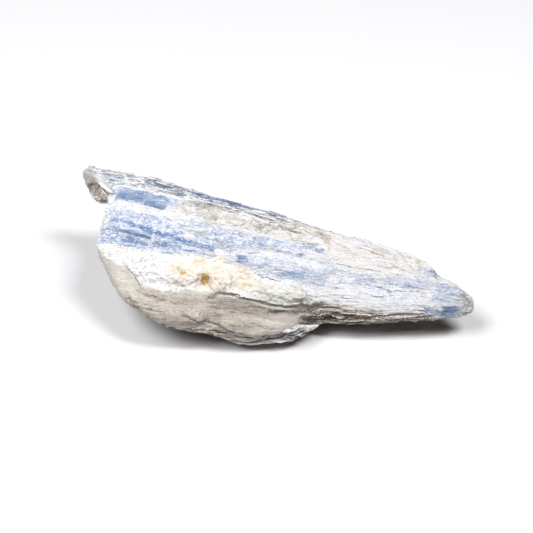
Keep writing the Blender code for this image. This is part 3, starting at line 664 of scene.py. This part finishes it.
def layLath(parts, middle, normal, length, width, rise):  # a flat-faced bar along the grain
    toFocus = focus - middle
    along = (toFocus - normal * toFocus.dot(normal)).normalized()
    across = normal.cross(along)
    steps = max(3, round(length / bladeFaces["step"]))
    shares = [i / steps - 0.5 for i in range(steps + 1)]
    heights = []
    for share in shares:
        hit = skinUnder(middle + along * length * share, -normal)
        if hit is None:
            return
        heights.append((hit - middle).dot(normal))
    slope, level = np.polyfit(shares, heights, 1)
    rough = float(np.max(np.abs(np.array(heights) - level - slope * np.array(shares))))
    left = skinUnder(middle + across * width * 0.5, -normal)
    right = skinUnder(middle - across * width * 0.5, -normal)
    roughest = bladeFaces["roughest" if normal.z > 0.5 else "sideRoughest"]
    if left is None or right is None or rough > roughest:
        return
    tilt = (left - right).dot(normal) / width
    slopeLimit, tiltLimit = bladeFaces["steepest"]
    if abs(tilt) > tiltLimit or abs(slope) > slopeLimit * length:
        return
    level += rise + 0.3 * rough
    skew = drawn(-0.9, 0.9) * width
    bow = drawn(0.75, 1)
    deep = bladeFaces["depth"] + rough
    rings = []
    for i, share in enumerate(shares):
        wide = width * (bow if i in (0, steps) else 1)
        slip = skew * (1 if i in (0, steps) else 0.5)
        ring = []
        for sideways, sunk in ((-0.5, 0), (0, -bladeFaces["crown"]), (0.5, 0), (0.5, 1), (-0.5, 1)):
            spot = middle + along * (length * share + slip * sideways) + across * wide * sideways
            high = level + slope * share + tilt * wide * sideways - sunk * deep
            ring.append(spot + normal * high)
        rings.append(ring)
    loftRings(parts, rings)
    parts["normals"] += [tuple(normal)] * (5 * len(rings))


corner = np.array([face[0] for face in skinFaces])
centres, starts = (moved + marksFrom)[corner], no[corner]
zones = zonesOf(moved, no)
onBlades = np.prod([1 - zones[name] for name in ("snow", "hump", "smooth", "hollow", "end")], axis=0)
onBlades *= moved[:, 2] > 2
onBlades *= 1 - zones["top"] * fall(moved[:, 0], 20, 26) * (1 - zones["ridge"])
onBlades = onBlades[corner]
blades = {"verts": [], "faces": [], "normals": []}
for number in range(bladeFaces["count"]):
    spot = chance.randrange(len(skinFaces))
    if onBlades[spot] < 0.6:
        continue
    middle, normal = Vector(centres[spot]), Vector(starts[spot]).normalized()
    topSide = normal.z > 0.5
    frontSide = not topSide and normal.y < -0.3
    width = drawn(*bladeFaces["frontWidth" if frontSide else "width"])
    rise = drawn(*bladeFaces["rise" if topSide else "frontRise" if frontSide else "sideRise"])
    layLath(blades, middle, normal, drawn(*bladeFaces["length"]), width, rise)


def seen(red, green, blue):  # a colour as a screen shows it, 0 to 255, for a node socket
    return tuple(((part / 255 + 0.055) / 1.055) ** 2.4 for part in (red, green, blue))


finish = {
    "quartz": seen(215, 216, 222),
    "quartzShade": seen(184, 184, 189),
    "quartzCream": seen(220, 214, 203),
    # bright quartz, also used for the painted glints
    "brightQuartzAndGlint": seen(230, 230, 231),
    "kyanitePale": seen(181, 188, 205),
    "kyanite": seen(125, 148, 183),
    "kyaniteDeep": seen(70, 102, 163),
    "navy": seen(66, 88, 118),
    "rust": seen(180, 148, 92),
    "apricot": seen(226, 204, 172),
    "greyQuartz": seen(166, 162, 155),
    "frontStone": seen(196, 188, 179),
    # the next colour is painted light: a lighter, pinker copy of the front stone
    "frontLitPink": seen(214, 206, 199),
    "frontShade": seen(152, 143, 133),
    "schist": seen(106, 95, 84),
    "schistPale": seen(210, 203, 195),
    # painted shade: a darker brown for faces that look down
    "under": seen(122, 112, 101),
    "green": seen(196, 197, 184),
    "brown": seen(120, 106, 92),
    # fills the cracks and the painted shadow lines, and is the painted shade in the lows
    "crackAndShade": seen(84, 74, 64),
}


# short hands for building node materials; they add to the newest finish
def newFinish(name):
    global paint
    paint = bpy.data.materials.new(name)
    paint.use_nodes = True


def feed(socket, value):
    if isinstance(value, bpy.types.NodeSocket):
        paint.node_tree.links.new(value, socket)
    elif isinstance(value, tuple) and socket.type == "RGBA":
        socket.default_value = (*value, 1)
    else:
        socket.default_value = value


def addNode(kind, inputs=None, **settings):
    node = paint.node_tree.nodes.new(kind)
    for key, value in settings.items():
        setattr(node, key, value)
    for key, value in (inputs or {}).items():
        feed(node.inputs[key], value)
    return node


def maskOf(name):
    return addNode("ShaderNodeAttribute", attribute_name=name).outputs["Fac"]


def combine(how, first, second):
    return addNode("ShaderNodeMath", {0: first, 1: second}, operation=how).outputs[0]


def times(*factors):
    return functools.reduce(lambda a, b: combine("MULTIPLY", a, b), factors)


def plus(*terms):
    return functools.reduce(lambda a, b: combine("ADD", a, b), terms)


def stepped(value, low, high):  # 0 at low, 1 at high
    node = addNode("ShaderNodeMapRange", {0: value, 1: low, 2: high}, interpolation_type="SMOOTHSTEP")
    return node.outputs[0]


def between(value, low, high, least, most):  # from least at low to most at high
    return addNode("ShaderNodeMapRange", {0: value, 1: low, 2: high, 3: least, 4: most}).outputs[0]


def blended(share, below, above):
    return addNode("ShaderNodeMix", {0: share, 6: below, 7: above}, data_type="RGBA").outputs[2]


def stretched(place, stretch):
    return addNode("ShaderNodeVectorMath", {0: place, 1: stretch}, operation="MULTIPLY").outputs[0]


def grainNoise(place, stretch, detail=3, roughness=0.6):
    place = stretched(place, stretch)
    looks = {"Vector": place, "Scale": 1, "Detail": detail, "Roughness": roughness}
    return addNode("ShaderNodeTexNoise", looks).outputs["Fac"]


def grainCells(place, stretch):  # a steady number from 0 to 1 for each crystal grain
    cells = addNode("ShaderNodeTexVoronoi", {"Vector": stretched(place, stretch), "Scale": 1})
    return addNode("ShaderNodeSeparateColor", {"Color": cells.outputs["Color"]}).outputs[0]


def threads(place, stretch, width):  # thin lines where a noise crosses its middle
    away = combine("ABSOLUTE", combine("SUBTRACT", grainNoise(place, stretch), 0.5), 0)
    return stepped(away, width, 0)


def over(colour, tone, *shares):  # a palette colour over another, by the product of the shares
    return blended(times(*shares), colour, finish[tone])


def shaded(looks):
    for name, value in looks.items():
        feed(paint.node_tree.nodes["Principled BSDF"].inputs[name], value)
    return paint


def finished(height, strength, depth, looks):  # shaded, with a fine relief (depth in mm)
    bump = addNode("ShaderNodeBump", {"Strength": strength, "Distance": depth * mm, "Height": height})
    return shaded({"Normal": bump.outputs[0], **looks})


def clusterFinish():
    newFinish("kyaniteInQuartz")
    spot = addNode("ShaderNodeAttribute", attribute_name="grain").outputs["Vector"]
    here = addNode("ShaderNodeTexCoord").outputs["Object"]
    stria = stepped(grainNoise(spot, (0.12, 1.7, 1.7), 4, 0.65), 0.38, 0.62)
    hair = stepped(grainNoise(here, (400, 2600, 2600), 3, 0.7), 0.38, 0.62)
    specks = stepped(grainNoise(here, (1100, 2000, 2000), 3, 0.7), 0.38, 0.62)
    broad = stepped(grainNoise(spot, (0.1, 0.4, 0.4), 2, 0.5), 0.36, 0.64)
    crystals = grainCells(here, (900, 1900, 1900))
    flecks = grainCells(here, (1500, 2600, 2600))
    fibres = times(threads(spot, (0.05, 0.9, 0.9), 0.028), stepped(hair, 0.2, 0.8))
    mix = plus(times(stria, 0.24), times(specks, 0.38), times(crystals, 0.38))
    streaks = plus(times(stria, 0.5), times(hair, 0.35), times(flecks, 0.15))

    # white quartz, with a little grey and cream in it, and painted glints along the grain
    snow = maskOf("snow")
    rough = combine("SUBTRACT", 1, times(snow, 0.6))
    white = over(finish["quartz"], "quartzCream", broad, 0.35)
    white = over(white, "brightQuartzAndGlint", snow, 0.85)
    white = over(white, "quartzShade", stepped(mix, 0.6, 0.8), rough, 0.7)
    white = over(white, "greyQuartz", stepped(streaks, 0.74, 0.86), rough, 0.5)
    white = over(white, "frontShade", stepped(flecks, 0.94, 0.97), rough, 0.4)
    # bright streaks along the grain: white quartz, with painted glints
    white = over(white, "brightQuartzAndGlint", stepped(streaks, 0.4, 0.24), 0.5)
    speckle = stepped(plus(flecks, times(specks, 0.5)), 0.95, 1.15)
    white = over(white, "greyQuartz", snow, speckle, 0.55)

    # blue grains, closer together where the blue mask is stronger
    whole, blue = maskOf("whole"), maskOf("blue")
    even = addNode("ShaderNodeMix", {0: times(whole, 0.7), 2: mix, 3: 0.62}).outputs[0]
    cover = plus(blue, even)
    kyanite = over(white, "kyanitePale", stepped(cover, 0.42, 0.92), 0.85)
    kyanite = over(kyanite, "kyanite", stepped(cover, 0.8, 1.24), 0.9)
    kyanite = over(kyanite, "kyaniteDeep", stepped(cover, 1.22, 1.58), 0.8)
    kyanite = blended(stepped(blue, 0.02, 0.16), white, kyanite)
    broken = combine("SUBTRACT", 0.7, times(whole, 0.6))
    kyanite = over(kyanite, "brightQuartzAndGlint", stepped(flecks, 0.78, 0.86), broken, stepped(blue, 0.02, 0.2))
    colour = over(kyanite, "navy", maskOf("navy"), stepped(plus(blue, streaks), 0.86, 1.1), 0.85)

    # greenish lip, greys and rust
    green, grey, rust = maskOf("green"), maskOf("grey"), maskOf("rust")
    colour = over(colour, "green", green, plus(times(broad, 0.35), 0.35))
    greyGrains = times(stepped(plus(grey, mix), 0.88, 1.1), 0.6)
    colour = over(colour, "greyQuartz", plus(times(grey, 0.3), greyGrains))
    colour = over(colour, "brown", stepped(grey, 0.45, 0.7), stepped(flecks, 0.8, 0.9), 0.6)
    rustGrains = times(stepped(plus(rust, mix), 0.84, 1.05), 0.4)
    rustTone = over(finish["apricot"], "rust", stepped(rust, 0.4, 0.8))
    colour = blended(plus(times(rust, 0.7), rustGrains), colour, rustTone)

    # the ridge: thin blades of white, grey and navy side by side
    ridge = maskOf("ridge")
    colour = over(colour, "greyQuartz", ridge, stepped(streaks, 0.42, 0.66), 0.8)
    ridgeLines = plus(fibres, stepped(plus(streaks, times(blue, 0.5)), 0.66, 0.78))
    colour = over(colour, "navy", ridge, ridgeLines, 0.75)

    # cleavage faces on the front with painted light and painted shade, dark schist, and painted shade on
    # the underside
    light = maskOf("light")
    # random mottling, plus painted shade from the darker patches
    mottle = plus(times(stepped(mix, 0.42, 0.75), 0.5), times(broad, 0.15), times(maskOf("shade"), 0.8))
    front = over(finish["frontStone"], "frontShade", mottle)
    # painted light: the lit patches take the lighter, pinker copy of the front stone
    front = over(front, "frontLitPink", light, 0.8)
    front = over(front, "green", green, 0.4)
    front = over(front, "brown", fibres, 0.35)
    colour = blended(maskOf("front"), colour, front)
    schist = over(finish["schist"], "schistPale", stepped(streaks, 0.35, 0.62))
    schist = over(schist, "frontShade", specks, 0.35)
    # painted light on the schist sheets too
    schist = over(schist, "frontLitPink", light, 0.75)
    schist = over(schist, "quartzCream", stepped(flecks, 0.88, 0.94))
    colour = blended(maskOf("schist"), colour, schist)
    # painted shade: faces that look down are darker
    colour = over(colour, "under", maskOf("under"), 0.7)
    hollow = over(finish["schist"], "schistPale", stepped(mix, 0.29, 0.7))
    colour = blended(maskOf("hollow"), colour, hollow)

    # painted shade in the lows of the relief, and faint dark lines along the grain
    shadedLows = stepped(maskOf("level"), -0.06, -0.36)
    lessOnSnow = combine("SUBTRACT", 1, times(snow, 0.8))
    colour = over(colour, "crackAndShade", plus(times(shadedLows, 0.4), times(fibres, 0.08)), lessOnSnow)

    height = plus(times(stria, 0.5), times(hair, 0.3), times(specks, 0.5), times(crystals, 0.5))
    return finished(height, 0.7, 0.2, {
        "Base Color": colour, "Roughness": between(crystals, 0, 1, 0.28, 0.6), "IOR": 1.55,
        "Subsurface Weight": 0.04, "Subsurface Radius": (0.8, 0.9, 1), "Subsurface Scale": 0.3 * mm})


def seamFinish(name, tone, paler):  # thin fillings of cracks and partings, and of the painted shadow lines
    newFinish(name)
    spot = addNode("ShaderNodeTexCoord").outputs["Object"]
    mottle = grainNoise(spot, (900, 1500, 1500), 3, 0.7)
    colour = over(finish[tone], paler, stepped(mottle, 0.35, 0.65))
    return finished(mottle, 0.5, 0.05, {"Base Color": colour, "Roughness": 0.8})


def micaFinish():
    newFinish("silveryMica")
    spot = addNode("ShaderNodeTexCoord").outputs["Object"]
    sheen = grainNoise(spot, (260, 800, 1600), 4, 0.7)
    colour = over(finish["frontShade"], "quartz", stepped(sheen, 0.36, 0.62))
    colour = over(colour, "brown", threads(spot, (90, 900, 1400), 0.05), 0.7)
    roughness = between(sheen, 0.3, 0.7, 0.22, 0.5)
    return finished(sheen, 0.4, 0.06, {"Base Color": colour, "Roughness": roughness, "IOR": 1.6})


stoneFinish = clusterFinish()
cluster.data.materials.clear()
cluster.data.materials.append(stoneFinish)
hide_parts("kyanite_blade_cluster")
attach(cluster, "root")
makePiece("bladeFaces", blades, stoneFinish)


seamShape = {"edge": -0.02, "crown": 0.08, "root": -0.3}  # mm above the skin
rays = {"step": 0.4, "front": -29, "above": 40, "reach": 40, "jump": 1.6}  # mm


def layDarkLine(parts, spots, width):  # a thin dark strip that follows the skin, for filled cracks, hairlines and painted shadow lines
    rings = []
    for i, (spot, normal) in enumerate(spots):
        ahead = spots[min(i + 1, len(spots) - 1)][0] - spots[max(i - 1, 0)][0]
        across = normal.cross(ahead)
        if across.length < 1e-6:
            return
        across.normalize()
        ends = min(i, len(spots) - 1 - i, 3) / 3
        half = 0.5 * width * (0.12 + 0.88 * ends) * drawn(0.45, 1.1)
        low, high, deep = (spot + normal * rise for rise in seamShape.values())
        rings.append([low + across * half, high, low - across * half, deep])
    if len(rings) > 2:
        loftRings(parts, rings)


# runs of places on the skin along a drawn line (crack, hairline, painted shadow line), broken here and
# there
def crackSpots(points, fromFront, gap=0.05, swing=0.25):
    run, runs, seed = [], [], chance.random() * 50
    for (a0, b0), (a1, b1) in zip(points, points[1:]):
        steps = max(1, round(math.hypot(a1 - a0, b1 - b0) / rays["step"]))
        for i in range(steps):
            a, b = a0 + (a1 - a0) * i / steps, b0 + (b1 - b0) * i / steps
            b += swing * math.sin(a * 2.1 + seed) * math.sin(a * 0.83 + seed * 2)
            spot = Vector((a, rays["front"], b) if fromFront else (a, b, rays["above"])) + Vector(marksFrom)
            inward = Vector((0, 1, 0) if fromFront else (0, 0, -1))
            hit, normal, face, away = skinTree.ray_cast(spot, inward, rays["reach"])
            jumped = run and hit is not None and (hit - run[-1][0]).length > rays["jump"]
            if hit is None or jumped or chance.random() < gap:
                runs.append(run)
                run = []
            if hit is not None:
                run.append((hit, normal))
    runs.append(run)
    return [run for run in runs if len(run) > 3]


# filled cracks, and painted shadow lines under the lip and above the mica flakes
seamsAndShadows = {"verts": [], "faces": []}
for cracks, fromFront in ((topCracks, False), (frontCracks, True)):
    for width, points in cracks.values():
        for run in crackSpots(points, fromFront):
            layDarkLine(seamsAndShadows, run, width)
makePiece("seamsAndShadowLines", seamsAndShadows, seamFinish("seamAndShadowFill", "crackAndShade", "brown"), False)

# hairlines that part the blades: where they lie (x and y ranges, x and z on the front), how
# many, how long and how wide
hairlines = {
    "grey": [((-50, 20), (-7, 9), 26, (1.5, 5), (0.1, 0.18)),
             ((18, 60), (-7, 11), 60, (2, 7), (0.1, 0.24))],
    "navy": [((-46, 10), (9, 15), 66, (3, 12), (0.12, 0.3)),
             ((-62, -46), (11.6, 15.6), 9, (2, 9), (0.08, 0.2)),
             ((52, 62), (-4, 6), 16, (1, 5), (0.15, 0.35))],
    "brown": [((-20, 42), (7, 12), 26, (2, 9), (0.12, 0.3)),
              ((52, 63), (-4, 6), 24, (1, 4), (0.15, 0.35)),
              ((-48, -26), (13, 16), 22, (2, 7), (0.2, 0.4))],
    "front": [((-41, -26), (12.5, 17), 30, (1.5, 5), (0.1, 0.24)),
              ((-28, -8), (8.5, 12.5), 26, (2, 6), (0.1, 0.22)),
              ((-34, 4), (11, 15.5), 16, (1.5, 6), (0.06, 0.14)),
              ((-8, 14), (3.5, 7), 15, (2, 6), (0.1, 0.24)),
              ((12, 48), (7.5, 11.5), 17, (3, 9), (0.1, 0.24))],
}


def grainRun(x, y, length, turn, fromFront):  # points along the grain, seen from above or the front
    slope = (grain["focus"][1] - y) / (grain["focus"][0] - x)
    if fromFront:
        slope = min(0.04, -0.38 + (x + 38) * 0.012)
    return [(x + length * i / 4, y + (slope + turn) * length * i / 4) for i in range(5)]


for name, tone, paler in (("grey", "frontShade", "greyQuartz"), ("navy", "navy", "greyQuartz"),
                          ("brown", "brown", "frontShade"), ("front", "brown", "frontShade")):
    lines = {"verts": [], "faces": []}
    for (left, right), (near, far), count, long, wide in hairlines[name]:
        for number in range(count):
            x, y = drawn(left, right), drawn(near, far)
            points = grainRun(x, y, drawn(*long), drawn(-0.03, 0.03), name == "front")
            for run in crackSpots(points, name == "front", 0.08, 0.12):
                layDarkLine(lines, run, drawn(*wide))
    makePiece(name + "Hairlines", lines, seamFinish(name + "Parting", tone, paler), False)


def layLeaf(parts, start, end, normal, width, thickness, jag):  # a thin plate with ragged edges
    start, end, normal = Vector(start), Vector(end), Vector(normal).normalized()
    along = end - start
    across = normal.cross(along).normalized()
    normal = along.cross(across).normalized() * (-1 if along.cross(across).dot(normal) < 0 else 1)
    steps = max(5, round(along.length / 0.7))
    rings = []
    for i in range(steps + 1):
        share = i / steps
        full = min(1, 3.2 * share + 0.22) * min(1, 3.2 * (1 - share) + 0.12)
        left, right = (width * 0.5 * full * (1 + jag * drawn(-1, 1)) for side in range(2))
        left, right = start + along * share - across * left, start + along * share + across * right
        rings.append([left, left + normal * thickness, right + normal * thickness, right])
    loftRings(parts, rings)


def makeLeaves(name, leaves, jag, finishOf):
    parts = {"verts": [], "faces": []}
    for leaf in leaves.values():
        layLeaf(parts, *leaf, jag)
    makePiece(name, parts, finishOf, False)


micaFlakes = {  # start, end, the way its face looks, width, thickness, in mm
    "upper": ((8.4, -17.2, 8.2), (13.8, -13.9, 9.1), (-0.05, -0.6, 0.8), 1.7, 0.26),
    "second": ((9.4, -16.6, 6.9), (15.4, -12.5, 7.7), (0.05, -0.6, 0.8), 2, 0.3),
    "third": ((9, -16.6, 5.6), (16.6, -11.3, 6.4), (-0.15, -0.5, 0.85), 2.3, 0.3),
    "fourth": ((7.8, -17, 4.7), (15.8, -12.3, 5.1), (0, -0.6, 0.8), 1.9, 0.26),
    "low": ((5.4, -18.2, 4.2), (12.6, -14.9, 4), (-0.1, -0.5, 0.86), 1.4, 0.26),
    "tip": ((13.4, -13, 5.2), (18.2, -10, 5.6), (-0.15, -0.5, 0.85), 1.4, 0.24),
    "chipOne": ((11, -15.4, 7.4), (13, -14.6, 6.2), (0.25, -0.6, 0.75), 0.9, 0.22),
    "chipTwo": ((13.4, -13.8, 7.2), (15, -12.9, 6.1), (0.25, -0.6, 0.75), 0.8, 0.22),
}
makeLeaves("micaFlakes", micaFlakes, 0.25, micaFinish())

splinters = {  # in the broken end of the beak
    "white": ((-57.2, 14, 29.2), (-51.6, 10.8, 28.5), (-0.2, -0.6, 0.75), 1, 0.6),
    "thin": ((-56.6, 13.8, 26.6), (-53.6, 11.6, 25.4), (-0.5, -0.7, 0.4), 0.35, 0.3),
    "inner": ((-56, 14, 28.4), (-52.6, 11.8, 27.2), (-0.4, -0.7, 0.5), 0.3, 0.3),
}
makeLeaves("beakSplinters", splinters, 0.15, seamFinish("whiteQuartz", "quartz", "quartzCream"))

studio = {
    "floorHalf": 3000,  # mm
    "floorColour": (0.685, 0.68, 0.695),
    "world": 0.0145,
    "worldColour": (1, 0.88, 0.79),
    "lights": {  # place (x, y, z), size along x and y, watts
        "right": ((284, 40, 566), (157, 287), 3.55),
        "left": ((-320, -129, 574), (380, 378), 4.85),
    },
}
camera = {
    "target": (-1.43, 5.2, 12),  # mm, what the middle of the picture looks at
    "distance": 395,
    "azimuth": math.radians(12),
    "elevation": math.radians(46),
    "lens": 85,
}

half = studio["floorHalf"] * mm
corners = [(-half, -half, 0), (half, -half, 0), (half, half, 0), (-half, half, 0)]
floorMesh = bpy.data.meshes.new("floor")
floorMesh.from_pydata(corners, [], [(0, 1, 2, 3)])
floor = placed("floor", floorMesh)
newFinish("studioPaper")
paper = {"Base Color": studio["floorColour"], "Roughness": 0.9, "Specular IOR Level": 0.1}
floorMesh.materials.append(shaded(paper))

for name, (spot, size, watts) in studio["lights"].items():
    light = bpy.data.lights.new(name, "AREA")
    light.shape = "RECTANGLE"
    light.size, light.size_y = size[0] * mm, size[1] * mm
    light.energy = watts
    lamp = placed(name, light)
    lamp.location = Vector(spot) * mm
    lamp.rotation_euler = (-Vector(spot)).to_track_quat("-Z", "Y").to_euler()

world = bpy.data.worlds.new("studio")
bpy.context.scene.world = world
world.use_nodes = True
sky = world.node_tree.nodes["Background"].inputs
sky["Strength"].default_value = studio["world"]
sky["Color"].default_value = (*studio["worldColour"], 1)

turn, rise = camera["azimuth"], camera["elevation"]
back = Vector((math.sin(turn) * math.cos(rise), -math.cos(turn) * math.cos(rise), math.sin(rise)))
eye = bpy.data.cameras.new("camera")
eye.lens = camera["lens"]
eye.sensor_width = 36
eye.clip_start = 0.01
eye.clip_end = 20
view = placed("camera", eye)
view.location = (Vector(camera["target"]) + back * camera["distance"]) * mm
view.rotation_euler = (-back).to_track_quat("-Z", "Y").to_euler()
bpy.context.scene.camera = view
bpy.context.scene.view_settings.view_transform = "Standard"
print("studio and camera set")
